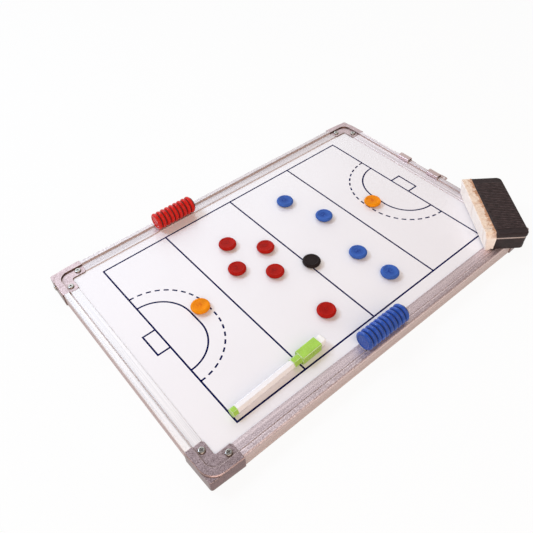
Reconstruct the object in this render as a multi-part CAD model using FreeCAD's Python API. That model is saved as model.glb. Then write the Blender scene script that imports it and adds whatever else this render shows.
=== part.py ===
import FreeCAD, Part
import math
import os

# Framed board, over its corner pieces. X runs along its length, Y across it, Z up from the table.
board_length = 448.0
board_width = 294.6
# The board's centre stands off the origin, because the eraser overhangs one corner of the set.
board_centre_x = -11.2
board_centre_y = 4.9

# Panel, from the writing face to the back.
sheet_thickness = 0.5
core_thickness = 8.0
back_thickness = 0.5
panel_clearance = 0.3

# Rail section: a box with a raised rim outside, a lip over the sheet and a lip behind the panel.
rail_height = 16.2
rail_width = 17.0
rail_wall = 1.2
box_width = 8.2
rim_width = 6.1
rim_rise = 2.9
rim_round = 2.0
rim_inner_round = 0.4
lip_thickness = 1.1
lip_edge_round = 0.4
groove_width = 1.6
groove_depth = 1.4
back_lip_width = 5.8
back_lip_thickness = 1.2

# Moulded corner piece, plugged into the rails' boxes.
corner_arm = 36.0
corner_proud = 1.2
corner_tip_inset = 1.4
corner_tip_round = 2.5
corner_shelf_drop = 1.4
corner_rim_round = 16.0
corner_edge_bevel = 0.8
corner_step_round = 10.0
corner_notch_round = 2.5
corner_end_chamfer = 2.0
ledge_thickness = 1.3
ledge_overhang = 0.7
tongue_length = 18.0
tongue_clearance = 0.1

# Screws: two down through each corner's ledge, one into the end wall of each far corner.
screw_along = 28.8
screw_inset = 12.8
screw_head_radius = 3.2
screw_head_height = 1.5
screw_head_round = 0.9
screw_shank_radius = 1.5
screw_shank_length = 8.0
screw_clearance = 0.1
screw_cross_length = 3.4
screw_cross_width = 0.8
screw_cross_depth = 0.9
side_screw_from_edge = 13.0

# Sprung hanging clips, which slide along the right-hand rail's rim.
clip_length = 16.5
clip_thickness = 0.7
clip_bend_radius = 1.6
clip_crown_gap = 2.0
clip_wall_clearance = 0.3
clip_lip_clearance = 0.2
clip_leg_drop = 9.0
clip_places = (33.7, -12.7)
ear_length = 8.0
ear_overlap = 3.0
ear_reach = 5.0
ear_drop = 1.2
ear_end_round = 2.2
ear_hole_radius = 1.3

# Counter: a plastic cap with a rounded rim and a dished top, over a ferrite disc.
counter_radius = 10.0
counter_height = 5.6
cap_thickness = 4.4
dish_radius = 6.7
dish_depth = 0.5
gate_radius = 0.8
gate_height = 0.2
disc_radius = 7.5
disc_thickness = 3.0
disc_clearance = 0.05
seat_gap = 0.1
# Places on the writing face, as shares of half the board's length and half its width.
red_place_shares = ((-0.223, 0.398), (-0.094, 0.184), (-0.289, 0.150), (-0.163, -0.050), (-0.144, -0.549))
blue_place_shares = ((0.206, 0.483), (0.283, 0.148), (0.222, -0.309), (0.239, -0.597))
orange_place_shares = ((-0.555, 0.039), (0.555, 0.014))
black_place_shares = ((0.011, -0.150),)

# Spare counters, stacked on edge on the lips of the long rails, their middles as shares of half the length.
red_stack_count = 9
red_stack_share = -0.315
blue_stack_count = 10
blue_stack_share = -0.046
stack_inset = 12.8

# Marker, lying along X with its cap's block on the sheet; its rear end's place from the board's edges.
marker_from_left = 50.7
marker_from_near = 37.8
marker_turn_degrees = 2.4
plug_flats = 8.0
plug_length = 5.5
plug_spigot_length = 6.0
barrel_flats = 7.7
barrel_length = 67.0
barrel_bore_radius = 2.7
spigot_clearance = 0.05
shoulder_radius = 3.2
shoulder_length = 7.0
reservoir_radius = 2.5
reservoir_margin = 1.0
holder_plug_length = 6.0
holder_collar_length = 1.5
holder_length = 9.0
holder_tip_radius = 1.7
nib_radius = 1.0
nib_clearance = 0.05
nib_reach = 3.0
neck_flats = 8.8
neck_length = 9.3
cap_bore_radius = 3.4
cap_bore_margin = 2.5
block_length = 23.9
block_width = 11.6
block_height = 10.4
block_round = 0.9
cap_magnet_length = 14.0
cap_magnet_width = 6.0
cap_magnet_thickness = 0.8
cap_felt_length = 8.5
cap_felt_seat = 1.5
cap_felt_margin = 1.2
cap_felt_round = 1.6

# Eraser, lying on its side across the near right-hand corner, placed from the board's edges.
eraser_from_right = 70.6
eraser_from_near = 16.3
eraser_turn_degrees = 52.8
eraser_length = 96.6
eraser_base_depth = 34.4
eraser_cover_depth = 35.1
eraser_corner_round = 6.0
eraser_base_height = 15.0
grip_groove_radius = 5.0
grip_groove_depth = 2.0
eraser_plate_thickness = 1.6
eraser_cover_height = 4.9
eraser_edge_round = 1.8
rib_width = 1.5
rib_height = 0.4
rib_pitch = 2.8
rib_margin = 3.0
felt_depth = 12.1
felt_lean = 4.0
felt_chamfer = 1.2
felt_drop = 1.6
felt_drop_width = 5.0
felt_drop_margin = 7.4
felt_strip_count = 7
felt_cut_width = 0.8
felt_cut_depth = 1.2

overrun = 1.0

half_length = board_length / 2
half_width = board_width / 2
rail_x = half_length - corner_proud
rail_y = half_width - corner_proud
sheet_top = rail_height - rim_rise
panel_bottom = sheet_top - sheet_thickness - core_thickness - back_thickness
lip_top = sheet_top + lip_thickness
ledge_top = sheet_top + ledge_thickness
groove_bottom = lip_top - groove_depth
box_top = groove_bottom - rail_wall
back_lip_bottom = panel_bottom - back_lip_thickness
X = FreeCAD.Vector(1, 0, 0)
Y = FreeCAD.Vector(0, 1, 0)
Z = FreeCAD.Vector(0, 0, 1)


def point(x, y, z=0.0):
    return FreeCAD.Vector(x, y, z)


def block(x0, x1, y0, y1, z0, z1):
    return Part.makeBox(x1 - x0, y1 - y0, z1 - z0, point(x0, y0, z0))


def rounded_wire(points, radii):
    """Closed wire through the points, each corner rounded by its radius; 0 keeps a corner sharp."""
    turns = []
    for i, corner in enumerate(points):
        before = (points[i - 1] - corner).normalize()
        after = (points[(i + 1) % len(points)] - corner).normalize()
        half = before.getAngle(after) / 2
        reach = radii[i] / math.tan(half)
        bisector = (before + after).normalize()
        middle = corner + bisector * (radii[i] / math.sin(half) - radii[i])
        turns.append((corner + before * reach, middle, corner + after * reach))
    edges = []
    for i, (start, middle, end) in enumerate(turns):
        if radii[i] > 0:
            edges.append(Part.Arc(start, middle, end).toShape())
        edges.append(Part.LineSegment(end, turns[(i + 1) % len(turns)][0]).toShape())
    return Part.Wire(edges)


def prism(points, radii, travel):
    return Part.Face(rounded_wire(points, radii)).extrude(travel)


def plate(x0, x1, y0, y1, z0, z1, round_radius):
    """Upright plate with rounded corners in plan."""
    corners = [point(x0, y0, z0), point(x1, y0, z0), point(x1, y1, z0), point(x0, y1, z0)]
    return prism(corners, [round_radius] * len(corners), Z * (z1 - z0))


def hexagon(flats, x0, x1):
    """Hexagonal bar along X with a flat on top."""
    radius = flats / math.sqrt(3)
    turns = [math.radians(60 * i) for i in range(6)]
    corners = [point(x0, radius * math.cos(a), radius * math.sin(a)) for a in turns]
    return prism(corners, [0] * len(corners), X * (x1 - x0))


def rod(radius, x0, x1):
    return Part.makeCylinder(radius, x1 - x0, point(x0, 0), X)


def turned(shape, degrees, x, y, z=0.0):
    """Copy of the shape, turned about Z through the origin and then moved."""
    copy = shape.copy()
    copy.rotate(point(0, 0), Z, degrees)
    copy.translate(point(x, y, z))
    return copy


def save(node, shape):
    copy = shape.copy()
    copy.translate(point(board_centre_x, board_centre_y))
    copy.exportStep("parts/" + node + ".step")


def rail(length):
    """Rail along X with its outer wall at y = 0, facing -Y."""
    outer = [
        (0, 0, 0), (box_width, 0, 0), (box_width, back_lip_bottom, 0),
        (box_width + back_lip_width, back_lip_bottom, 0),
        (box_width + back_lip_width, panel_bottom, 0), (box_width, panel_bottom, 0),
        (box_width, sheet_top, 0), (rail_width, sheet_top, 0), (rail_width, lip_top, lip_edge_round),
        (rim_width + groove_width, lip_top, 0), (rim_width + groove_width, groove_bottom, 0),
        (rim_width, groove_bottom, 0), (rim_width, rail_height, rim_inner_round),
        (0, rail_height, rim_round),
    ]
    hollow = [
        (rail_wall, rail_wall), (box_width - rail_wall, rail_wall), (box_width - rail_wall, box_top),
        (rim_width - rail_wall, box_top), (rim_width - rail_wall, rail_height - rail_wall),
        (rail_wall, rail_height - rail_wall),
    ]
    start = -length / 2
    solid = prism([point(start, y, z) for y, z, _ in outer], [r for _, _, r in outer], X * length)
    hollow_round = max(rim_round - rail_wall, 0)
    radii = [0] * (len(hollow) - 1) + [hollow_round]
    return solid.cut(prism([point(start, y, z) for y, z in hollow], radii, X * length))


def save_rails():
    long_rail = rail(board_length - 2 * corner_arm)
    short_rail = rail(board_width - 2 * corner_arm)
    save("rail_near", turned(long_rail, 0, 0, -rail_y))
    save("rail_right", turned(short_rail, 90, rail_x, 0))
    save("rail_far", turned(long_rail, 180, 0, rail_y))
    save("rail_left", turned(short_rail, 270, -rail_x, 0))


def corner_notch(inset, low, high, round_radius):
    """Space inside a corner piece's angle, from the inset on both arms to past their ends."""
    end = corner_arm + overrun
    corners = [point(inset, inset, low), point(end, inset, low), point(end, end, low), point(inset, end, low)]
    return prism(corners, [round_radius, 0, 0, 0], Z * (high - low))


def corner_section(inset, round_radius, z):
    """Outline of a corner piece at one height: its walls draw in towards a rounded outer tip."""
    tip = corner_tip_inset + inset
    corners = [point(tip, tip, z), point(corner_arm, inset, z),
               point(corner_arm, corner_arm, z), point(inset, corner_arm, z)]
    return rounded_wire(corners, [round_radius, 0, 0, 0])


def corner_piece():
    """Corner with its outer tip at the origin and its arms along +X and +Y."""
    shelf = rail_height - corner_shelf_drop
    sections = [
        corner_section(0, corner_rim_round, shelf),
        corner_section(0, corner_rim_round, rail_height - corner_edge_bevel),
        corner_section(corner_edge_bevel, corner_rim_round - corner_edge_bevel, rail_height),
    ]
    solid = Part.Face(corner_section(0, corner_tip_round, 0)).extrude(Z * shelf)
    solid = solid.fuse(Part.makeLoft(sections, True, True))
    seat = corner_proud + box_width
    step = corner_proud + rim_width + groove_width / 2
    lip = corner_proud + rail_width + ledge_overhang
    solid = solid.cut(corner_notch(step, ledge_top, rail_height + overrun, corner_step_round))
    solid = solid.cut(corner_notch(lip, sheet_top - overrun, ledge_top + overrun, corner_notch_round))
    solid = solid.cut(corner_notch(seat, panel_bottom, sheet_top, 0))
    solid = solid.cut(corner_notch(seat + back_lip_width, back_lip_bottom, panel_bottom, 0))
    solid = solid.cut(corner_notch(seat, -overrun, back_lip_bottom, 0))
    for a, b in ((X, Y), (Y, X)):
        end = a * corner_arm + b * lip + Z * sheet_top
        bevel = [end, end - a * corner_end_chamfer, end - b * corner_end_chamfer]
        solid = solid.cut(prism(bevel, [0, 0, 0], Z * ledge_thickness))
    low = corner_proud + rail_wall + tongue_clearance
    high = corner_proud + box_width - rail_wall - tongue_clearance
    base = rail_wall + tongue_clearance
    top = box_top - tongue_clearance
    solid = solid.fuse(block(corner_arm, corner_arm + tongue_length, low, high, base, top))
    return solid.fuse(block(low, high, corner_arm, corner_arm + tongue_length, base, top)).removeSplitter()


def front_screw_places():
    """Two places on each corner's ledge, one on each arm."""
    places = []
    for sx in (-1, 1):
        for sy in (-1, 1):
            places.append(point(sx * (half_length - screw_along), sy * (half_width - screw_inset), ledge_top))
            places.append(point(sx * (half_length - screw_inset), sy * (half_width - screw_along), ledge_top))
    return places


def side_screw_places():
    """One place on the short-side wall of each far corner, with the way its head faces."""
    wall_run = corner_arm - corner_tip_inset
    inset = corner_tip_inset * (corner_arm - side_screw_from_edge) / wall_run
    y = half_width - side_screw_from_edge
    places = []
    for s in (-1, 1):
        facing = (X * s * wall_run + Y * corner_tip_inset).normalize()
        places.append((point(s * (half_length - inset), y, rail_height / 2), facing))
    return places


def screw():
    """Cross-head screw standing on the origin, with its shank down -Z."""
    head = Part.makeCylinder(screw_head_radius, screw_head_height)
    rim = [e for e in head.Edges if e.CenterOfMass.z > screw_head_height / 2 and len(e.Vertexes) == 1]
    head = head.makeFillet(screw_head_round, rim)
    low = screw_head_height - screw_cross_depth
    for along, across in ((screw_cross_length, screw_cross_width), (screw_cross_width, screw_cross_length)):
        slot = block(-along / 2, along / 2, -across / 2, across / 2, low, screw_head_height + overrun)
        head = head.cut(slot)
    return head.fuse(Part.makeCylinder(screw_shank_radius, screw_shank_length, point(0, 0), -Z))


def screw_hole(place, direction):
    """Clearance hole for a screw's shank, from just above its head's seat to its tip."""
    radius = screw_shank_radius + screw_clearance
    length = screw_shank_length + screw_clearance + overrun
    return Part.makeCylinder(radius, length, place - direction * overrun, direction)


def save_corners_and_screws():
    holes = [screw_hole(p, -Z) for p in front_screw_places()]
    side_holes = [screw_hole(p, -d) for p, d in side_screw_places()]
    corner = corner_piece()
    places = (
        ("corner_near_left", 0, -1, -1), ("corner_near_right", 90, 1, -1),
        ("corner_far_right", 180, 1, 1), ("corner_far_left", 270, -1, 1),
    )
    for node, degrees, sx, sy in places:
        placed = turned(corner, degrees, sx * half_length, sy * half_width)
        save(node, placed.cut(holes + side_holes))
    front_screws = [turned(screw(), 0, p.x, p.y, p.z) for p in front_screw_places()]
    save("corner_screws", Part.makeCompound(front_screws))
    side_screws = []
    for place, facing in side_screw_places():
        copy = screw()
        copy.Placement = FreeCAD.Placement(place, FreeCAD.Rotation(Z, facing))
        side_screws.append(copy)
    save("side_screws", Part.makeCompound(side_screws))
    return holes


def save_panel(screw_holes):
    reach_x = rail_x - box_width - panel_clearance
    reach_y = rail_y - box_width - panel_clearance
    core_top = sheet_top - sheet_thickness
    core_bottom = core_top - core_thickness
    layers = (
        ("writing_sheet", core_top, sheet_top), ("core_board", core_bottom, core_top),
        ("back_sheet", panel_bottom, core_bottom),
    )
    for node, low, high in layers:
        save(node, block(-reach_x, reach_x, -reach_y, reach_y, low, high).cut(screw_holes))


def hanging_clip(ear_bent):
    """Clip over the rim of a rail along X whose outer wall is at y = 0; its eye is at the -X end."""
    start = -clip_length / 2
    outside = -clip_wall_clearance
    lip = rim_width + (groove_width - clip_thickness) / 2
    crown = rail_height + clip_crown_gap
    leg_end = rail_height - clip_leg_drop
    lip_end = groove_bottom + clip_lip_clearance
    t = clip_thickness
    inner_bend = max(clip_bend_radius - t, 0)
    shell = [
        (outside - t, leg_end, 0), (outside, leg_end, 0), (outside, crown, inner_bend),
        (lip, crown, inner_bend), (lip, lip_end, 0), (lip + t, lip_end, 0),
        (lip + t, crown + t, clip_bend_radius), (outside - t, crown + t, clip_bend_radius),
    ]
    points = [point(start, y, z) for y, z, _ in shell]
    clip = prism(points, [r for _, _, r in shell], X * clip_length)
    ear = plate(start - ear_length, start + ear_overlap, -ear_reach, 0, -t, 0, ear_end_round)
    eye = Part.makeCylinder(ear_hole_radius, t, point(start - ear_length / 2, -ear_reach / 2), -Z)
    ear = ear.cut(eye)
    if not ear_bent:
        ear.rotate(point(0, 0), X, 90)
        ear.translate(Y * -t)
    ear.translate(point(0, outside, rail_height - ear_drop))
    return clip.fuse(ear).removeSplitter()


def save_clips():
    for i, place in enumerate(clip_places):
        clip = hanging_clip(ear_bent=(i == 1))
        save("hanger_clip_%d" % (i + 1), turned(clip, 90, rail_x, place))


def counter_cap():
    """Cap standing on the origin's plane, turned about Z, with the disc's pocket underneath."""
    top = counter_height
    under = counter_height - cap_thickness
    round_radius = cap_thickness / 2
    flat = counter_radius - round_radius
    floor = top - dish_depth
    pocket_top = disc_thickness
    pocket = disc_radius + disc_clearance
    dish_end = dish_radius + dish_depth
    gate_top = floor + gate_height
    edges = []
    corners = [
        (flat, under), (pocket, under), (pocket, pocket_top), (0, pocket_top), (0, gate_top),
        (gate_radius, gate_top), (gate_radius, floor), (dish_radius, floor), (dish_end, top), (flat, top),
    ]
    path = [point(r, 0, z) for r, z in corners]
    for a, b in zip(path, path[1:]):
        edges.append(Part.LineSegment(a, b).toShape())
    edges.append(Part.Arc(path[-1], point(counter_radius, 0, top - round_radius), path[0]).toShape())
    return Part.Face(Part.Wire(edges)).revolve(point(0, 0), Z, 360)


def counter_disc():
    return Part.makeCylinder(disc_radius, disc_thickness)


def save_counters():
    colours = (
        ("red", red_place_shares), ("blue", blue_place_shares),
        ("orange", orange_place_shares), ("black", black_place_shares),
    )
    for colour, place_shares in colours:
        for i, (x_share, y_share) in enumerate(place_shares):
            x = x_share * half_length
            y = y_share * half_width
            name = "%s_counter_%d" % (colour, i + 1)
            save(name + "_cap", turned(counter_cap(), 0, x, y, sheet_top + seat_gap))
            save(name + "_magnet", turned(counter_disc(), 0, x, y, sheet_top + seat_gap))


def save_stack(name, count, middle_share, side):
    """Counters on edge in a row along X, their tops towards -X, on the lip of a long rail."""
    z = lip_top + seat_gap + counter_radius
    y = side * (half_width - stack_inset)
    first = middle_share * half_length - (count - 1) * counter_height / 2
    for layer, shape in (("_caps", counter_cap()), ("_magnets", counter_disc())):
        shape.translate(Z * -(counter_height - cap_thickness / 2))
        shape.rotate(point(0, 0), Y, -90)
        copies = [turned(shape, 0, first + i * counter_height, y, z) for i in range(count)]
        save(name + layer, Part.makeCompound(copies))


def marker_pieces():
    """Marker along X from its rear end at the origin, by node."""
    barrel_start = plug_length
    barrel_end = barrel_start + barrel_length
    shoulder_end = barrel_end + shoulder_length
    spigot = barrel_bore_radius - spigot_clearance
    plug = hexagon(plug_flats, 0, plug_length)
    plug = plug.fuse(rod(spigot, plug_length, plug_length + plug_spigot_length))
    barrel = hexagon(barrel_flats, barrel_start, barrel_end)
    barrel = barrel.fuse(rod(shoulder_radius, barrel_end, shoulder_end))
    barrel = barrel.cut(rod(barrel_bore_radius, barrel_start, shoulder_end))
    holder_start = shoulder_end - holder_plug_length
    collar_end = shoulder_end + holder_collar_length
    holder_end = shoulder_end + holder_length
    holder = rod(spigot, holder_start, shoulder_end).fuse(rod(shoulder_radius, shoulder_end, collar_end))
    cone_length = holder_end - collar_end
    cone = Part.makeCone(shoulder_radius, holder_tip_radius, cone_length, point(collar_end, 0), X)
    holder = holder.fuse(cone).cut(rod(nib_radius + nib_clearance, holder_start, holder_end))
    reservoir_start = plug_length + plug_spigot_length + reservoir_margin
    reservoir = rod(reservoir_radius, reservoir_start, holder_start)
    nib = rod(nib_radius, holder_start, holder_end + nib_reach)
    tip = max(nib.Edges, key=lambda e: e.CenterOfMass.x)
    nib = nib.makeFillet(nib_radius / 2, [tip])
    return {
        "marker_plug": plug, "marker_barrel": barrel.removeSplitter(), "marker_reservoir": reservoir,
        "marker_nib_holder": holder.removeSplitter(), "marker_nib": nib,
    }


def cap_pieces():
    """Marker's cap in the marker's own line: hexagonal neck, block with its magnet, and felt end."""
    neck_start = plug_length + barrel_length
    block_start = neck_start + neck_length
    block_end = block_start + block_length
    low = -block_height / 2
    body = block(block_start, block_end, -block_width / 2, block_width / 2, low, -low)
    long_edges = [e for e in body.Edges if abs(e.tangentAt(e.FirstParameter).x) > 0.5]
    body = body.makeFillet(block_round, long_edges)
    nib_end = neck_start + shoulder_length + holder_length + nib_reach
    bore = rod(cap_bore_radius, neck_start, nib_end + cap_bore_margin)
    body = body.fuse(hexagon(neck_flats, neck_start, block_start)).cut(bore)
    felt_width = block_width / 2 - cap_felt_margin
    felt_height = block_height / 2 - cap_felt_margin
    felt_start = block_end - cap_felt_seat
    felt = block(felt_start, block_end + cap_felt_length, -felt_width, felt_width, -felt_height, felt_height)
    body = body.cut(felt)
    end_edges = [e for e in felt.Edges if e.CenterOfMass.x > block_end + cap_felt_length / 2]
    end_face_edges = [e for e in end_edges if abs(e.tangentAt(e.FirstParameter).x) < 0.5]
    felt = felt.makeFillet(cap_felt_round, end_face_edges)
    middle = (block_start + block_end) / 2
    half_magnet = cap_magnet_length / 2
    half_strip = cap_magnet_width / 2
    magnet = block(middle - half_magnet, middle + half_magnet, -half_strip, half_strip,
                   low, low + cap_magnet_thickness)
    body = body.cut(magnet).removeSplitter()
    return {"marker_cap": body, "marker_cap_magnet": magnet, "marker_cap_felt": felt}


def save_marker():
    x = marker_from_left - half_length
    y = marker_from_near - half_width
    z = sheet_top + seat_gap + block_height / 2
    for node, shape in {**marker_pieces(), **cap_pieces()}.items():
        save(node, turned(shape, marker_turn_degrees, x, y, z))


def eraser_slab(depth, low, high):
    """Slab of the eraser's grip: square where it holds the felt, round at the back's corners."""
    front = -felt_depth
    back = front - depth
    corners = [point(0, back, low), point(eraser_length, back, low),
               point(eraser_length, front, low), point(0, front, low)]
    return prism(corners, [eraser_corner_round, eraser_corner_round, 0, 0], Z * (high - low))


def eraser_base(high):
    """Lower half of the grip, with a finger groove along its back."""
    back = -felt_depth - eraser_base_depth
    centre = point(-overrun, back + grip_groove_depth - grip_groove_radius, high / 2)
    groove = Part.makeCylinder(grip_groove_radius, eraser_length + 2 * overrun, centre, X)
    return eraser_slab(eraser_base_depth, 0, high).cut(groove)


def eraser_cover(low, high):
    """Upper half of the grip, wider than the base and ribbed across its length."""
    slab = eraser_slab(eraser_cover_depth, low, high - rib_height)
    top_edges = [e for e in slab.Edges if e.BoundBox.ZMin > (low + high) / 2]
    slab = slab.makeFillet(eraser_edge_round, top_edges)
    front = -felt_depth - eraser_edge_round
    back = -felt_depth - eraser_cover_depth + eraser_edge_round
    span = eraser_length - 2 * (rib_margin + eraser_corner_round) - rib_width
    count = int(span / rib_pitch) + 1
    first = (eraser_length - (count - 1) * rib_pitch - rib_width) / 2
    for i in range(count):
        x = first + i * rib_pitch
        slab = slab.fuse(block(x, x + rib_width, back, front, high - rib_height - eraser_edge_round, high))
    return slab.removeSplitter()


def eraser_felt(height):
    """Felt pad in a row of strips: its wiping face leans out to y = 0, its foot hangs inside the rim."""
    section = [
        point(0, -felt_depth, 0), point(0, -felt_lean, 0), point(0, 0, height - felt_chamfer),
        point(0, -felt_chamfer / 2, height), point(0, -felt_depth, height),
    ]
    pad = prism(section, [0] * len(section), X * eraser_length)
    drop_length = eraser_length - felt_drop_margin
    pad = pad.fuse(block(0, drop_length, -felt_lean - felt_drop_width, -felt_lean, -felt_drop, overrun))
    strip = eraser_length / felt_strip_count
    for i in range(1, felt_strip_count):
        x = i * strip
        low = [point(x, 0, height - felt_cut_depth), point(x + felt_cut_width / 2, 0, height),
               point(x - felt_cut_width / 2, 0, height)]
        pad = pad.cut(prism(low, [0] * len(low), Y * -felt_depth))
    return pad


def save_eraser():
    plate_low = eraser_base_height
    cover_low = plate_low + eraser_plate_thickness
    height = cover_low + eraser_cover_height
    pieces = {
        "eraser_base": eraser_base(plate_low),
        "eraser_plate": eraser_slab(eraser_base_depth, plate_low, cover_low),
        "eraser_cover": eraser_cover(cover_low, height), "eraser_felt": eraser_felt(height),
    }
    x = half_length - eraser_from_right
    y = eraser_from_near - half_width
    for node, shape in pieces.items():
        save(node, turned(shape, eraser_turn_degrees, x, y, rail_height))


os.makedirs("parts", exist_ok=True)
save_rails()
save_panel(save_corners_and_screws())
save_clips()
save_counters()
save_stack("red_stack", red_stack_count, red_stack_share, 1)
save_stack("blue_stack", blue_stack_count, blue_stack_share, -1)
save_marker()
save_eraser()
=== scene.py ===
import bmesh
import bpy
import math
import random
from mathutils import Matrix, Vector, noise

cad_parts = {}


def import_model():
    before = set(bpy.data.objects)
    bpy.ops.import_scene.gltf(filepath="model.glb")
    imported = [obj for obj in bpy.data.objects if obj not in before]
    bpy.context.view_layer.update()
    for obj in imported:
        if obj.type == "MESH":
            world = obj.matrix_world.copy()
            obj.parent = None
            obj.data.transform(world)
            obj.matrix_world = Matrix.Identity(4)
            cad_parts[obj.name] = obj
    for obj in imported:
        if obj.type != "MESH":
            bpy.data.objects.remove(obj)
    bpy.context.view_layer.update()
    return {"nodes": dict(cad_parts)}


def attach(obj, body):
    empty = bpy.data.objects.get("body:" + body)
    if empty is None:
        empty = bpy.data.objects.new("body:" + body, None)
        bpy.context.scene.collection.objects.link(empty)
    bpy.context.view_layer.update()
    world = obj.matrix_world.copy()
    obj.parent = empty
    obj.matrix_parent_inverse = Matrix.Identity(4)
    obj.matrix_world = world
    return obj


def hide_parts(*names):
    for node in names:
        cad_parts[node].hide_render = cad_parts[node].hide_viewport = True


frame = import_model()
nodes = frame["nodes"]
MM = 0.001

# Board's centre and the height of its writing face, in millimetres.
BOARD_X, BOARD_Y = -11.2, 4.9
SHEET_TOP = 13.3
# Loose pieces' places and turns, and the size of the eraser's felt pad.
MARKER_AT, MARKER_TURN = (-173.3 + BOARD_X, -109.5 + BOARD_Y, 18.6), math.radians(2.4)
ERASER_AT, ERASER_TURN = (153.4 + BOARD_X, -131.0 + BOARD_Y, 16.2), math.radians(52.8)
PAD_LENGTH, PAD_DEPTH, PAD_TOP, PAD_LEAN, PAD_DROP = 96.6, 12.1, 21.5, 4.0, 1.5
# Height of the grip's top, and the line across the eraser where its felt meets the grip, in metres.
GRIP_TOP = (ERASER_AT[2] + PAD_TOP) * MM
ERASER_ACROSS = ERASER_AT[1] * math.cos(ERASER_TURN) - ERASER_AT[0] * math.sin(ERASER_TURN)
GRIP_LINE = (ERASER_ACROSS - PAD_DEPTH) * MM


# ---------------------------------------------------------------- materials
class Shader:
    """One material: a Principled shader and short calls for the nodes that feed it."""

    def __init__(self, name, **values):
        self.material = bpy.data.materials.new(name)
        self.material.use_nodes = True
        self.tree = self.material.node_tree
        self.shader = self.tree.nodes["Principled BSDF"]
        self.place = self.node("TexCoord").outputs["Object"]
        self.rounded = None
        for key, value in values.items():
            self.set(key.replace("_", " "), value)

    def plug(self, socket, value):
        """A link for a socket, or a value that fits it; three numbers make an opaque colour."""
        if isinstance(value, bpy.types.NodeSocket):
            self.tree.links.new(value, socket)
        elif socket.type == "RGBA":
            socket.default_value = (*value, 1.0)
        else:
            socket.default_value = value

    def set(self, name, value):
        self.plug(self.shader.inputs[name], value)

    def node(self, kind, values=None, **settings):
        """A node with its settings, and its inputs by name or number."""
        made = self.tree.nodes.new("ShaderNode" + kind)
        for key, value in settings.items():
            setattr(made, key, value)
        for key, value in (values or {}).items():
            self.plug(made.inputs[key], value)
        return made

    def noise(self, scale, detail=3.0, rough=0.5, stretch=(1, 1, 1), turn=0.0):
        """Noise by place on the part, in cells per metre, stretched along axes turned about Z."""
        where = self.place
        if turn:
            where = self.node("Mapping", {"Vector": where, "Rotation": (0, 0, turn)}).outputs[0]
        if stretch != (1, 1, 1):
            where = self.node("Mapping", {"Vector": where, "Scale": stretch}).outputs[0]
        values = {"Vector": where, "Scale": scale, "Detail": detail, "Roughness": rough}
        return self.node("TexNoise", values).outputs["Fac"]

    def spread(self, value, low, high, start=0.3, end=0.7):
        """The value's range from start to end, carried to the range from low to high."""
        return self.node("MapRange", {0: value, 1: start, 2: end, 3: low, 4: high}).outputs[0]

    def math(self, operation, a, b):
        return self.node("Math", {0: a, 1: b}, operation=operation).outputs[0]

    def sum(self, *parts):
        """Weighted sum of (value, weight) pairs."""
        total = None
        for value, weight in parts:
            share = self.math("MULTIPLY", value, weight)
            total = share if total is None else self.math("ADD", total, share)
        return total

    def blend(self, factor, a, b):
        return self.node("Mix", {0: factor, 6: a, 7: b}, data_type="RGBA").outputs[2]

    def soften(self, radius, sharp=0.80):
        """Normals rounded at the edges, and a mask that is 1 on those edges."""
        self.rounded = self.node("Bevel", {"Radius": radius}, samples=6).outputs[0]
        plain = self.node("NewGeometry").outputs["Normal"]
        both = {0: self.rounded, 1: plain}
        match = self.node("VectorMath", both, operation="DOT_PRODUCT").outputs["Value"]
        return self.spread(match, 1.0, 0.0, sharp, 0.985)

    def slope(self):
        """1 on faces that look straight up, 0 on walls, less on undersides."""
        normal = self.node("NewGeometry").outputs["Normal"]
        return self.node("SeparateXYZ", {0: normal}).outputs[2]

    def upward(self, low, high):
        """1 on faces that look up, 0 on walls and undersides."""
        return self.spread(self.slope(), 0, 1, low, high)

    def crevice(self, distance):
        """Openness of the place: 0 deep in a groove, 1 on an open face."""
        return self.node("AmbientOcclusion", {"Distance": distance}, samples=8).outputs["AO"]

    def bump(self, height, strength, distance):
        values = {"Height": height, "Strength": strength, "Distance": distance}
        if self.rounded is not None:
            values["Normal"] = self.rounded
        self.set("Normal", self.node("Bump", values).outputs[0])


def white_sheet():
    s = Shader("sheet_gloss_white", Coat_Weight=0.2, Coat_Roughness=0.15)
    cloud = s.noise(9.0)
    tone = s.spread(cloud, 0, 1)
    s.set("Base Color", s.blend(tone, (0.80, 0.765, 0.785), (0.825, 0.79, 0.808)))
    smear = s.noise(60.0, 4.0, 0.6, (1.0, 0.25, 1.0), 0.5)
    s.set("Roughness", s.spread(smear, 0.28, 0.38))
    s.bump(s.noise(900.0, 2.0), 0.04, 0.0002)
    return s.material


def rail(name, axis, low, high, grain_share, rough):
    """Satin extrusion along one axis: drawn lines with it, walls painted darker as painted shade, and
    grooves painted pale as painted light.
    """
    s = Shader(name, Anisotropic=0.35)
    lines = (5.0, 520.0, 520.0) if axis == "X" else (520.0, 5.0, 520.0)
    line = s.noise(1.0, 2.0, 0.6, lines)
    grain = s.noise(900.0, 1.0, 0.5)
    tone = s.spread(s.sum((line, 1 - grain_share), (grain, grain_share)), 0, 1, 0.39, 0.61)
    # Painted shade: walls are painted darker than the top faces.
    shaded_wall = s.blend(tone, (0.414, 0.318, 0.311), (0.576, 0.470, 0.463))
    upward = s.upward(0.1, 0.5)
    # Painted light: enclosed grooves get a pale, non-metallic colour that lifts their shade.
    clear = s.spread(s.crevice(0.002), 0, 1, 0.2, 0.7)
    face = s.blend(upward, shaded_wall, s.blend(tone, low, high))
    s.set("Base Color", s.blend(clear, (0.92, 0.84, 0.81), face))
    s.set("Metallic", s.spread(s.math("MULTIPLY", clear, upward), 0.0, 0.75, 0, 1))
    s.set("Roughness", s.spread(tone, rough - 0.06, rough + 0.06, 0, 1))
    s.bump(line, 0.04, 0.0002)
    s.set("Tangent", s.node("Tangent", direction_type="RADIAL", axis=axis).outputs[0])
    return s.material


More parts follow.
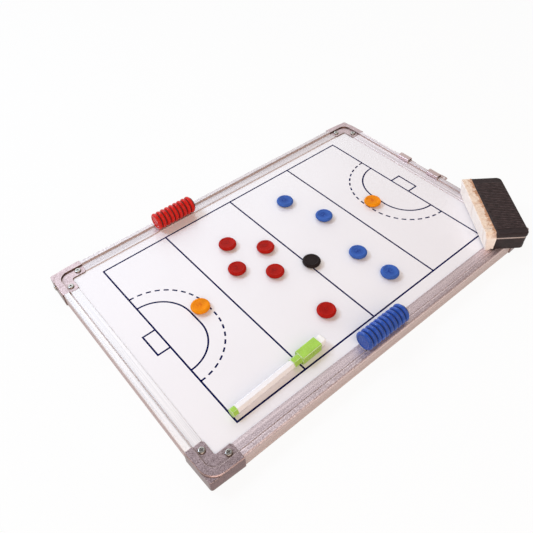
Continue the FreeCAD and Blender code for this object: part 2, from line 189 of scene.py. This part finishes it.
def corner_plastic():
    """Silver-grey corner: a fine grain, a painted highlight along its edges, walls painted darker as
    painted shade, and painted shade in the step.
    """
    s = Shader("corner_silver_grey", Metallic=0.95)
    edge = s.soften(0.0005)
    grain = s.noise(1000.0, 1.0, 0.5)
    cloud = s.noise(140.0)
    tone = s.spread(s.sum((grain, 0.7), (cloud, 0.3)), 0, 1, 0.36, 0.64)
    # Painted shade: walls are painted darker than the top.
    shaded_wall = s.blend(tone, (0.118, 0.060, 0.058), (0.225, 0.122, 0.118))
    top = s.blend(tone, (0.32, 0.229, 0.236), (0.565, 0.426, 0.436))
    face = s.blend(s.upward(0.2, 0.7), shaded_wall, top)
    # Painted highlight: a tan line is painted along the edges.
    edge_highlight = s.math("MULTIPLY", edge, s.spread(cloud, 0.3, 0.85))
    face_with_highlight = s.blend(edge_highlight, face, (0.70, 0.53, 0.42))
    # Painted shade: the step and other enclosed places are darkened.
    step_shade = s.spread(s.crevice(0.005), 0, 1, 0.6, 0.9)
    s.set("Base Color", s.blend(step_shade, (0.23, 0.158, 0.142), face_with_highlight))
    s.set("Roughness", s.spread(grain, 0.27, 0.37))
    s.bump(grain, 0.2, 0.0003)
    return s.material


def plated(name, colour, rough, scale, tarnish):
    """Bright metal with a fine mottle, tarnished in its recesses and smoother on its edges."""
    s = Shader(name, Metallic=1.0)
    edge = s.soften(0.0002)
    fine = s.noise(scale)
    face = s.blend(s.spread(fine, 0, 1), tuple(c * 0.84 for c in colour), colour)
    s.set("Base Color", s.blend(s.spread(s.crevice(0.0015), 0, 1, 0.2, 0.8), tarnish, face))
    matt = s.spread(fine, rough * 0.8, rough * 1.3)
    s.set("Roughness", s.math("SUBTRACT", matt, s.math("MULTIPLY", edge, 0.05)))
    s.bump(fine, 0.05, 0.0001)
    return s.material


# Middle of the ragged, darker patch on a counter, as shares of the counter's own box.
PATCH_AT = (0.47, 0.54, 0.9)


def moulded(name, colour, rough, swing=0.12, edge_round=0.0004, sharp=0.80, highlight_bias=0.5, highlight_lift=0.12,
            gloss=0.07, middle_patch=0.0, ridge_highlight=False):
    """Moulded plastic: flow marks, fine handling marks, edges painted lighter as a painted highlight,
    and an uneven gloss.

    A ragged, darker patch can be set at a counter's middle, and a painted highlight line can be added
    along rounded ridges.
    """
    s = Shader(name, Specular_IOR_Level=gloss)
    edge = s.soften(edge_round, sharp)
    flow = s.noise(120.0)
    fine = s.noise(700.0, 3.0, 0.6)
    face = s.blend(s.spread(flow, 0, 1), tuple(c * (1 - swing) for c in colour),
                   tuple(min(1.0, c * (1 + swing)) for c in colour))
    if middle_patch:
        ends = {0: s.node("TexCoord").outputs["Generated"], 1: PATCH_AT}
        off = s.node("VectorMath", ends, operation="DISTANCE").outputs["Value"]
        ragged = s.spread(s.noise(480.0, 3.0, 0.65), 0, 1, 0.36, 0.60)
        mark = s.math("MULTIPLY", s.spread(off, middle_patch, 0.0, 0.07, 0.32), ragged)
        face = s.blend(mark, face, tuple(0.8 * c ** 1.6 for c in colour))
    # Painted highlight: edges are painted lighter.
    edge_highlight = tuple(c + (1 - c) * highlight_lift for c in colour)
    face = s.blend(s.math("MULTIPLY", edge, s.spread(fine, highlight_bias - 0.5, highlight_bias)), face, edge_highlight)
    # Painted highlight: a pale line on faces sloped between a wall and a top, along rounded ridges.
    if ridge_highlight:
        slope = s.slope()
        ridge_shine = s.math("MINIMUM", s.spread(slope, 0, 1, 0.53, 0.62), s.spread(slope, 1, 0, 0.78, 0.855))
        face = s.blend(ridge_shine, face, edge_highlight)
    s.set("Base Color", face)
    s.set("Roughness", s.spread(fine, rough * 0.8, rough * 1.3))
    s.bump(fine, 0.06, 0.0003)
    return s.material


def dull(name, low, high, rough, scale, strength):
    """Matt surface: ferrite, fibreboard, coated back, inked fibre."""
    s = Shader(name)
    speck = s.noise(scale, 4.0, 0.65)
    s.set("Base Color", s.blend(s.spread(speck, 0, 1), low, high))
    s.set("Roughness", s.spread(speck, rough - 0.08, rough + 0.08))
    s.bump(speck, strength, 0.0003)
    return s.material


def felt(name, low, high):
    """Pressed felt: soft tufts over a fine fibre."""
    s = Shader(name, Sheen_Weight=0.3, Sheen_Roughness=0.6)
    fibre = s.noise(1500.0, 4.0, 0.7)
    tone = s.sum((fibre, 0.45), (s.noise(300.0, 3.0, 0.6), 0.55))
    s.set("Base Color", s.blend(s.spread(tone, 0, 1, 0.34, 0.60), low, high))
    s.set("Roughness", s.spread(fibre, 0.85, 0.98))
    s.bump(tone, 0.5, 0.0006)
    return s.material


# How far the brown stain reaches out from the grip, in metres.
STAIN_REACH = 0.0062


def used_felt():
    """Eraser's felt: a pale wiping face, a creamier top, flecked and stained along the grip."""
    s = Shader("eraser_felt_cream", Sheen_Weight=0.25, Sheen_Roughness=0.6)
    fibre = s.noise(1500.0, 4.0, 0.7)
    tuft = s.noise(330.0, 3.0, 0.6)
    tone = s.spread(s.sum((fibre, 0.4), (tuft, 0.6)), 0, 1, 0.34, 0.62)
    turned = s.node("Mapping", {"Vector": s.place, "Rotation": (0, 0, -ERASER_TURN)}).outputs[0]
    depth = s.node("SeparateXYZ", {0: turned}).outputs[1]
    face = s.blend(tone, (0.92, 0.81, 0.745), (0.975, 0.895, 0.84))
    top = s.blend(tone, (0.72, 0.52, 0.38), (0.90, 0.73, 0.59))
    fleck = s.spread(s.noise(620.0, 2.0, 0.6), 0, 0.6, 0.60, 0.70)
    top = s.blend(fleck, top, (0.54, 0.28, 0.15))
    reach = s.spread(depth, 0, 1, GRIP_LINE + STAIN_REACH, GRIP_LINE)
    blot = s.spread(s.noise(210.0, 4.0, 0.7), -0.25, 0.75, 0.35, 0.65)
    stain = s.spread(s.math("ADD", reach, blot), 0, 0.95, 0.5, 1.0)
    top = s.blend(stain, top, (0.47, 0.205, 0.085))
    # Painted shade: the felt is darkened brown in its seams and creases.
    seam = s.spread(s.crevice(0.0012), 0, 1, 0.2, 0.75)
    top = s.blend(seam, (0.50, 0.31, 0.19), top)
    s.set("Base Color", s.blend(s.upward(0.35, 0.8), face, top))
    s.set("Roughness", s.spread(fibre, 0.85, 0.98))
    s.bump(tone, 0.5, 0.0006)
    return s.material


def ribbed_black():
    """Eraser's grip: brown-black, with short broken marks across its length."""
    s = Shader("eraser_ribbed_black", Specular_IOR_Level=0.25)
    edge = s.soften(0.0005)
    broken = s.noise(1.0, 2.0, 0.55, (520.0, 160.0, 160.0), -ERASER_TURN)
    fine = s.noise(700.0, 2.0, 0.6)
    height = s.node("SeparateXYZ", {0: s.place}).outputs[2]
    rib = s.spread(height, 0, 1, GRIP_TOP - 0.00035, GRIP_TOP - 0.00005)
    mark = s.math("MULTIPLY", s.spread(rib, 0.25, 1.0, 0, 1), s.spread(broken, 0, 1, 0.40, 0.62))
    face = s.blend(mark, (0.020, 0.0124, 0.0134), (0.064, 0.040, 0.043))
    # Painted highlight: edges are painted lighter.
    s.set("Base Color", s.blend(s.math("MULTIPLY", edge, 0.35), face, (0.16, 0.125, 0.12)))
    s.set("Roughness", s.spread(fine, 0.45, 0.65))
    s.bump(s.sum((broken, 0.5), (fine, 0.5)), 0.2, 0.0003)
    return s.material


def ink():
    s = Shader("pitch_ink_navy", Specular_IOR_Level=0.03)
    patch = s.noise(420.0)
    tone = s.spread(patch, 0, 1)
    s.set("Base Color", s.blend(tone, (0.002, 0.003, 0.045), (0.004, 0.006, 0.080)))
    s.set("Roughness", s.spread(patch, 0.4, 0.55))
    s.bump(patch, 0.05, 0.0001)
    return s.material


def wear(node, material):
    """The node's solids dressed in one material."""
    target = nodes[node]
    if not target.material_slots:
        target.data.materials.append(material)
    for slot in target.material_slots:
        slot.material = material


# The four rails are one extrusion. Their colours are set apart by side as painted light and shade: left
# and right painted lighter, near and far darker.
rail_near = rail("rail_satin_near", "X", (0.475, 0.372, 0.392), (0.84, 0.708, 0.722), 0.5, 0.46)
rail_far = rail("rail_satin_far", "X", (0.44, 0.375, 0.388), (0.79, 0.715, 0.718), 0.6, 0.46)
rail_left = rail("rail_satin_left", "Y", (0.69, 0.637, 0.622), (0.88, 0.826, 0.806), 0.1, 0.70)
rail_right = rail("rail_satin_right", "Y", (0.66, 0.59, 0.61), (0.93, 0.85, 0.87), 0.1, 0.54)
corner_grey = corner_plastic()
screw_nickel = plated("screw_nickel", (0.46, 0.43, 0.40), 0.26, 500.0, (0.06, 0.045, 0.035))
clip_steel = plated("clip_spring_steel", (0.70, 0.55, 0.545), 0.42, 900.0, (0.14, 0.10, 0.09))
red = moulded("counter_red", (0.40, 0.0095, 0.005), 0.38, middle_patch=0.75)
# The stacked counters are the same plastic as the loose ones; the red stack's caps are painted brighter
# as painted light.
stack_red_lit = moulded("stack_red", (0.575, 0.0145, 0.009), 0.26, gloss=0.17)
blue = moulded("counter_blue", (0.043, 0.113, 0.41), 0.38, middle_patch=1.0)
# The blue stack's caps are painted darker than the loose blue counters as painted shade.
stack_blue_shaded = moulded("stack_blue", (0.024, 0.078, 0.37), 0.26, gloss=0.25)
orange = moulded("counter_orange", (0.83, 0.262, 0.004), 0.38, middle_patch=0.9)
black = moulded("counter_black", (0.018, 0.0115, 0.0115), 0.38)
ferrite = dull("ferrite_disc", (0.022, 0.016, 0.015), (0.045, 0.036, 0.034), 0.7, 900.0, 0.2)
# The marker's green gets a strong painted highlight along its edges and a painted highlight line along
# its ridges.
green = moulded("marker_green", (0.345, 0.58, 0.075), 0.25, 0.08, edge_round=0.0007, sharp=0.93,
                highlight_bias=1.0, highlight_lift=0.85, gloss=0.4, ridge_highlight=True)
barrel_white = moulded("marker_barrel_white", (0.85, 0.82, 0.84), 0.25, 0.02, gloss=0.4)
fibre = dull("marker_fibre", (0.05, 0.05, 0.06), (0.10, 0.10, 0.12), 0.8, 2000.0, 0.3)
eraser_black = ribbed_black()
eraser_seam = dull("eraser_seam_grey", (0.36, 0.29, 0.275), (0.56, 0.46, 0.44), 0.6, 600.0, 0.2)
cream_felt = used_felt()
white_felt = felt("marker_felt_pale", (0.80, 0.77, 0.74), (0.90, 0.875, 0.86))
navy_ink = ink()

wear("writing_sheet", white_sheet())
wear("core_board", dull("core_fibreboard", (0.30, 0.20, 0.12), (0.48, 0.34, 0.21), 0.85, 420.0, 0.3))
wear("back_sheet", dull("back_coated_grey", (0.42, 0.42, 0.43), (0.50, 0.50, 0.51), 0.5, 700.0, 0.1))
for side, metal in (
    ("near", rail_near), ("far", rail_far), ("left", rail_left), ("right", rail_right),
):
    wear("rail_" + side, metal)
for place in ("near_left", "near_right", "far_right", "far_left"):
    wear("corner_" + place, corner_grey)
for colour, count, plastic in (
    ("red", 5, red), ("blue", 4, blue), ("orange", 2, orange), ("black", 1, black),
):
    for i in range(1, count + 1):
        wear("%s_counter_%d_cap" % (colour, i), plastic)
        wear("%s_counter_%d_magnet" % (colour, i), ferrite)
for colour, plastic in (("red", stack_red_lit), ("blue", stack_blue_shaded)):
    wear(colour + "_stack_caps", plastic)
    wear(colour + "_stack_magnets", ferrite)
for node, material in (
    ("corner_screws", screw_nickel), ("side_screws", screw_nickel),
    ("hanger_clip_1", clip_steel), ("hanger_clip_2", clip_steel),
    ("marker_plug", green), ("marker_cap", green), ("marker_barrel", barrel_white),
    ("marker_nib_holder", barrel_white), ("marker_reservoir", fibre), ("marker_nib", fibre),
    ("marker_cap_magnet", ferrite), ("eraser_base", eraser_black), ("eraser_cover", eraser_black),
    ("eraser_plate", eraser_seam),
):
    wear(node, material)


# ---------------------------------------------------------------- meshes
def piece(name, mesh_maker, material, body, replaced=()):
    """A new object from a bmesh in metres, riding on a body."""
    mesh = bpy.data.meshes.new(name)
    made = bmesh.new()
    mesh_maker(made)
    bmesh.ops.recalc_face_normals(made, faces=made.faces)
    made.to_mesh(mesh)
    made.free()
    mesh.materials.append(material)
    item = bpy.data.objects.new(name, mesh)
    bpy.context.scene.collection.objects.link(item)
    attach(item, body)
    if replaced:
        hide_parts(*replaced)
    return item


def skin(made, rings):
    """Quads between closed rings of vertices, with both ends closed."""
    n = len(rings[0])
    for one, two in zip(rings, rings[1:]):
        for k in range(n):
            face = made.faces.new((one[k], one[(k + 1) % n], two[(k + 1) % n], two[k]))
            face.smooth = True
    made.faces.new(rings[0])
    made.faces.new(rings[-1][::-1])


# Printed pitch: all sizes in millimetres from the print's own centre, a little off the board's.
PRINT_TURN = math.radians(0.40)
PRINT_X, PRINT_Y = 0.13, 0.88
PITCH_L, PITCH_W = 347.7, 232.9
LINE = 1.85
INK_THICK = 0.04
# Lines across the pitch, as shares of its length.
CROSS_LINES = (0.2293, 0.4961, 0.7626)
GOAL_HALF, GOAL_DEPTH = 13.6, 13.2
# Each goal circle's radius, and half the straight front between its two arcs.
CIRCLE, CIRCLE_FRONT = 38.8, 9.0
DASHED, DASHED_FRONT = 56.9, 6.3
DASH, DASH_GAP = 5.2, 3.9
ARC_STEPS = 28


def on_board(x, y, z):
    """Change from the print's own axes, in millimetres, to the frame, in metres."""
    c, s = math.cos(PRINT_TURN), math.sin(PRINT_TURN)
    return Vector((
        (x * c - y * s + PRINT_X + BOARD_X) * MM, (x * s + y * c + PRINT_Y + BOARD_Y) * MM, z * MM,
    ))


def ribbon(made, path, closed=False):
    """Raised flat line of ink along a path, mitred at its corners."""
    points = [Vector(p) for p in path]
    count = len(points)
    rows = []
    for i, p in enumerate(points):
        before = points[i - 1] if (closed or i > 0) else None
        after = points[(i + 1) % count] if (closed or i < count - 1) else None
        a = (p - before).normalized() if before is not None else None
        b = (after - p).normalized() if after is not None else None
        a, b = a or b, b or a
        tangent = (a + b).normalized()
        normal = Vector((-tangent.y, tangent.x))
        reach = LINE / 2 / max(0.3, math.sqrt(max(0.0, (1 + a.dot(b)) / 2)))
        left, right = p + normal * reach, p - normal * reach
        rows.append([made.verts.new(on_board(q.x, q.y, SHEET_TOP + z))
                     for q, z in ((left, 0), (left, INK_THICK), (right, INK_THICK), (right, 0))])
    if closed:
        rows.append(rows[0])
    for one, two in zip(rows, rows[1:]):
        for k in range(4):
            made.faces.new((one[k], one[(k + 1) % 4], two[(k + 1) % 4], two[k]))
    if not closed:
        made.faces.new(rows[0])
        made.faces.new(rows[-1][::-1])


def circle_path(side, radius, front):
    """A goal circle: two quarter arcs, joined by a straight front."""
    line = side * PITCH_L / 2
    quarter = [math.pi / 2 * i / ARC_STEPS for i in range(ARC_STEPS + 1)]
    upper = [(line - side * radius * math.sin(a), front + radius * math.cos(a)) for a in quarter]
    lower = [(x, -y) for x, y in reversed(upper)]
    return upper + lower


def dashes(path, dash, gap):
    """Stretches of a path, each one dash long with a gap between."""
    points = [Vector(p) for p in path]
    lengths = [0.0]
    for a, b in zip(points, points[1:]):
        lengths.append(lengths[-1] + (b - a).length)

    def at(s):
        i = max(k for k in range(len(points) - 1) if lengths[k] <= s + 1e-9)
        share = (s - lengths[i]) / (lengths[i + 1] - lengths[i])
        return points[i].lerp(points[i + 1], share)

    count = round((lengths[-1] + gap) / (dash + gap))
    step = (lengths[-1] + gap) / count
    return [[at(i * step + (step - gap) * k / 4) for k in range(5)] for i in range(count)]


def pitch(made):
    """Outline, cross lines, goals, and the solid and dashed circles."""
    half_l, half_w = PITCH_L / 2, PITCH_W / 2
    ribbon(made, [(-half_l, -half_w), (half_l, -half_w), (half_l, half_w), (-half_l, half_w)], True)
    inner = half_w - LINE / 2
    for share in CROSS_LINES:
        x = (share - 0.5) * PITCH_L
        ribbon(made, [(x, -inner), (x, inner)])
    for side in (-1, 1):
        edge = side * (half_l + LINE / 2)
        back = edge + side * GOAL_DEPTH
        ribbon(made, [(edge, GOAL_HALF), (back, GOAL_HALF), (back, -GOAL_HALF), (edge, -GOAL_HALF)])
        solid = circle_path(side, CIRCLE, CIRCLE_FRONT)
        ribbon(made, [(min(max(x, -half_l + LINE / 2), half_l - LINE / 2), y) for x, y in solid])
        for run in dashes(circle_path(side, DASHED, DASHED_FRONT), DASH, DASH_GAP):
            ribbon(made, run)


piece("pitch_lines", pitch, navy_ink, "board")


ROUND_STEPS = 4


def rounded_loop(corners):
    """Closed outline through (y, z, radius) corners, each rounded by its radius."""
    outline = []
    count = len(corners)
    for i, (y, z, radius) in enumerate(corners):
        here = Vector((y, z))
        before = (Vector(corners[i - 1][:2]) - here).normalized()
        after = (Vector(corners[(i + 1) % count][:2]) - here).normalized()
        half = before.angle(after) / 2
        reach = radius / math.tan(half)
        centre = here + (before + after).normalized() * (radius / math.sin(half))
        start, end = here + before * reach - centre, here + after * reach - centre
        for k in range(ROUND_STEPS + 1):
            outline.append(centre + start.lerp(end, k / ROUND_STEPS).normalized() * radius)
    return outline


def cuts_of(outline, step):
    """How many lengths, none longer than the step, each side of a closed outline is cut into."""
    ends = outline[1:] + outline[:1]
    return [max(1, math.ceil((b - a).length / step)) for a, b in zip(outline, ends)]


def cut_up(outline, cuts):
    """The closed outline with each side cut into its number of lengths."""
    ends = outline[1:] + outline[:1]
    return [a.lerp(b, k / n) for a, b, n in zip(outline, ends, cuts) for k in range(n)]


def placer(x0, y0, z0, turn):
    """Change from a loose piece's own axes, in millimetres, to the frame, in metres."""
    c, s = math.cos(turn), math.sin(turn)

    def place(x, y, z):
        return Vector(((x * c - y * s + x0) * MM, (x * s + y * c + y0) * MM, (z + z0) * MM))

    return place


# Eraser's felt pad: strips of felt side by side behind one wiping face, in the eraser's own axes.
by_eraser = placer(*ERASER_AT, ERASER_TURN)
PAD_JOINS = (0.0, 11.0, 24.5, 38.0, 52.0, 68.0, 82.5, PAD_LENGTH)
PAD_CUT, PAD_RING = 1.1, 0.9
# Notch between two strips: its depth, and how far it runs along each.
SEAM_DEPTH, SEAM_RUN = 0.55, 0.9
# Rounding of the pad's two ends, and the first end's top, which slopes down.
END_ROUND, END_RUN = 0.8, 2.5
SLOPE_RUN, SLOPE_FALL = 5.0, 1.1
# Last length of the pad, whose foot stays above the rim, and the height of that foot.
HIGH_FOOT_RUN, HIGH_FOOT = 8.5, -0.1
# Two sizes of unevenness: how often they come, and how deep they are.
TUFT_RATE, TUFT_DEPTH = 0.45, 0.35
FUZZ_RATE, FUZZ_DEPTH = 1.7, 0.12
# Back of the pad, held flat against the grip.
HELD_RUN = 2.0


def pad_outline(foot, lower, out, up, seam):
    """Pad's section: its back against the grip, its foot inside the rim, its wiping face towards +Y."""
    top = PAD_TOP - 0.2 + up - lower
    step = min(0.5, -foot * 0.3)
    back = -PAD_DEPTH + 0.05
    return rounded_loop([
        (back, 0.2, 0.1), (-9.0, 0.2, step / 4), (-8.9, foot, step), (-PAD_LEAN, foot, 3 * step),
        (-0.3 + out - seam, top - 0.9, 0.5), (-0.9 + out, top - seam, 0.4), (back, top - seam, 0.2),
    ])


def felt_pad(made):
    """Rings of the pad's section along its length, each strip a little out of line with the next."""
    rng = random.Random(11)
    offsets = [(rng.uniform(-0.3, 0.3), rng.uniform(-0.5, 0.3)) for _ in PAD_JOINS]
    cuts = cuts_of(pad_outline(-PAD_DROP, 0, 0, 0, 0), PAD_CUT)
    middle = Vector((-PAD_DEPTH * 0.55, PAD_TOP * 0.5))
    rings = []
    for i, (low, high) in enumerate(zip(PAD_JOINS, PAD_JOINS[1:])):
        count = max(4, round((high - low) / PAD_RING))
        for k in range(count + 1):
            x = low + (high - low) * k / count
            seam = SEAM_DEPTH * max(0.0, 1 - min(x - low, high - x) / SEAM_RUN)
            end = max(0.0, 1 - min(x, PAD_LENGTH - x) / END_RUN) ** 2
            foot = -PAD_DROP if x < PAD_LENGTH - HIGH_FOOT_RUN else HIGH_FOOT
            lower = max(0.0, SLOPE_RUN - x) * SLOPE_FALL
            ring = []
            for q in cut_up(pad_outline(foot, lower, *offsets[i], seam), cuts):
                here = Vector((x, q.x, q.y))
                fuzz = noise.noise(here * TUFT_RATE + Vector((0, 0, i * 7.0))) * TUFT_DEPTH
                fuzz += noise.noise(here * FUZZ_RATE) * FUZZ_DEPTH
                held = min(1.0, max(0.0, (q.x + PAD_DEPTH) / HELD_RUN))
                spot = q + (middle - q).normalized() * (end * END_ROUND - fuzz) * held
                ring.append(made.verts.new(by_eraser(x, min(spot.x, 0.0), max(spot.y, foot))))
            rings.append(ring)
    skin(made, rings)


pad = piece("eraser_felt_pad", felt_pad, cream_felt, "eraser", ("eraser_felt",))


# Marker's felt end: a small rounded block, in the marker's own axes.
by_marker = placer(*MARKER_AT, MARKER_TURN)
TIP_START, TIP_END = 104.2, 114.2
TIP_HALF_WIDE, TIP_HALF_HIGH, TIP_ROUND = 4.5, 3.9, 1.1
TIP_CUT, TIP_RINGS = 0.9, 16
# Last length of the tip, which closes in, and by how much.
CLOSE_RUN, CLOSE_BY = 2.4, 0.42


def tip_outline(shrink):
    y, z, r = TIP_HALF_WIDE * shrink, TIP_HALF_HIGH * shrink, TIP_ROUND * shrink
    return rounded_loop([(-y, -z, r), (y, -z, r), (y, z, r), (-y, z, r)])


def felt_tip(made):
    cuts = cuts_of(tip_outline(1.0), TIP_CUT)
    rings = []
    for k in range(TIP_RINGS + 1):
        x = TIP_START + (TIP_END - TIP_START) * k / TIP_RINGS
        close = max(0.0, (x - TIP_END + CLOSE_RUN) / CLOSE_RUN)
        ring = []
        for q in cut_up(tip_outline(1.0 - CLOSE_BY * close ** 2.5), cuts):
            fuzz = min(1.02, 1.0 + 0.035 * noise.noise(Vector((x * 0.8, q.x * 0.8, q.y * 0.8))))
            ring.append(made.verts.new(by_marker(x, q.x * fuzz, q.y * fuzz)))
        rings.append(ring)
    skin(made, rings)


tip = piece("marker_felt_tip", felt_tip, white_felt, "marker_cap", ("marker_cap_felt",))


# ---------------------------------------------------------------- stage, light and camera
FLOOR_SIZE, FLOOR_DROP = 6.0, 0.0005
# Share of plain white in what a camera or a reflection sees of the floor; the rest keeps the shadow.
FLOOR_WHITE = 0.92


def floor_material():
    """Pale floor, near white to a camera or a reflection, with the object's shadow kept."""
    material = bpy.data.materials.new("floor_pale")
    material.use_nodes = True
    tree = material.node_tree
    tree.nodes.clear()
    output = tree.nodes.new("ShaderNodeOutputMaterial")
    matt = tree.nodes.new("ShaderNodeBsdfDiffuse")
    matt.inputs["Color"].default_value = (0.80, 0.785, 0.775, 1)
    white = tree.nodes.new("ShaderNodeEmission")
    white.inputs["Color"].default_value = (1, 1, 1, 1)
    white.inputs["Strength"].default_value = 1.0
    path = tree.nodes.new("ShaderNodeLightPath")
    seen = path.outputs["Is Camera Ray"]
    for ray in ("Is Glossy Ray", "Is Transmission Ray"):
        either = tree.nodes.new("ShaderNodeMath")
        either.operation = "MAXIMUM"
        tree.links.new(seen, either.inputs[0])
        tree.links.new(path.outputs[ray], either.inputs[1])
        seen = either.outputs[0]
    share = tree.nodes.new("ShaderNodeMath")
    share.operation = "MULTIPLY"
    share.inputs[1].default_value = FLOOR_WHITE
    tree.links.new(seen, share.inputs[0])
    mix = tree.nodes.new("ShaderNodeMixShader")
    tree.links.new(share.outputs[0], mix.inputs[0])
    tree.links.new(matt.outputs[0], mix.inputs[1])
    tree.links.new(white.outputs[0], mix.inputs[2])
    tree.links.new(mix.outputs[0], output.inputs["Surface"])
    return material


def floor():
    mesh = bpy.data.meshes.new("floor")
    made = bmesh.new()
    bmesh.ops.create_grid(made, x_segments=2, y_segments=2, size=FLOOR_SIZE)
    made.to_mesh(mesh)
    made.free()
    mesh.materials.append(floor_material())
    item = bpy.data.objects.new("floor", mesh)
    item.location = (0, 0, -FLOOR_DROP)
    bpy.context.scene.collection.objects.link(item)


def lamp(name, towards, distance, size, power, colour):
    """Square soft light, standing off the part in the given direction and facing it."""
    data = bpy.data.lights.new(name, "AREA")
    data.shape = "SQUARE"
    data.size = size
    data.energy = power
    data.color = colour
    item = bpy.data.objects.new(name, data)
    item.location = Vector(towards).normalized() * distance
    item.rotation_euler = Vector(towards).to_track_quat("Z", "Y").to_euler()
    bpy.context.scene.collection.objects.link(item)


# Colours of the studio, by how high one looks, and the soft window on its far side.
HORIZON, CEILING, WINDOW = (0.92, 0.81, 0.69, 1), (0.14, 0.088, 0.076, 1), (2.12, 2.36, 2.45, 1)
WINDOW_TOWARDS = Vector((0.25, 0.83, 0.50)).normalized()
WINDOW_OUTER, WINDOW_INNER = math.radians(40), math.radians(12)


def world():
    """Studio around the part: warm and dim overhead, paler at the horizon, with a window."""
    space = bpy.data.worlds.new("studio")
    bpy.context.scene.world = space
    space.use_nodes = True
    tree = space.node_tree
    tree.nodes.clear()
    output = tree.nodes.new("ShaderNodeOutputWorld")
    where = tree.nodes.new("ShaderNodeTexCoord").outputs["Generated"]
    split = tree.nodes.new("ShaderNodeSeparateXYZ")
    tree.links.new(where, split.inputs[0])
    walls = tree.nodes.new("ShaderNodeValToRGB")
    walls.color_ramp.elements[0].position = 0.15
    walls.color_ramp.elements[0].color = HORIZON
    walls.color_ramp.elements[1].position = 0.92
    walls.color_ramp.elements[1].color = CEILING
    tree.links.new(split.outputs[2], walls.inputs[0])
    facing = tree.nodes.new("ShaderNodeVectorMath")
    facing.operation = "DOT_PRODUCT"
    facing.inputs[1].default_value = WINDOW_TOWARDS
    tree.links.new(where, facing.inputs[0])
    edge = tree.nodes.new("ShaderNodeMapRange")
    edge.interpolation_type = "SMOOTHSTEP"
    edge.inputs["From Min"].default_value = math.cos(WINDOW_OUTER)
    edge.inputs["From Max"].default_value = math.cos(WINDOW_INNER)
    tree.links.new(facing.outputs["Value"], edge.inputs["Value"])
    window = tree.nodes.new("ShaderNodeMix")
    window.data_type = "RGBA"
    window.inputs[7].default_value = WINDOW
    tree.links.new(edge.outputs[0], window.inputs[0])
    tree.links.new(walls.outputs[0], window.inputs[6])
    around = tree.nodes.new("ShaderNodeBackground")
    around.inputs["Strength"].default_value = 0.95
    tree.links.new(window.outputs[2], around.inputs["Color"])
    tree.links.new(around.outputs[0], output.inputs["Surface"])


# Camera solved from the printed pitch: place in metres, turn in degrees, lens for a 36 mm sensor.
CAMERA_AT, CAMERA_TURN = (-0.30258, -0.3090, 0.45257), (42.9236, 1.3682, -39.9218)
CAMERA_LENS = 37.591


def camera():
    data = bpy.data.cameras.new("camera")
    data.sensor_width = 36.0
    data.lens = CAMERA_LENS
    data.clip_start = 0.01
    item = bpy.data.objects.new("camera", data)
    item.location = CAMERA_AT
    item.rotation_euler = [math.radians(a) for a in CAMERA_TURN]
    bpy.context.scene.collection.objects.link(item)
    bpy.context.scene.camera = item


floor()
world()
lamp("key", (-0.42, 0.57, 0.71), 1.6, 0.45, 11.5, (0.60, 0.78, 1.0))
lamp("fill", (-0.35, -0.6, 0.72), 2.4, 2.4, 34.0, (1.0, 0.87, 0.76))
camera()
bpy.context.scene.view_settings.view_transform = "Standard"
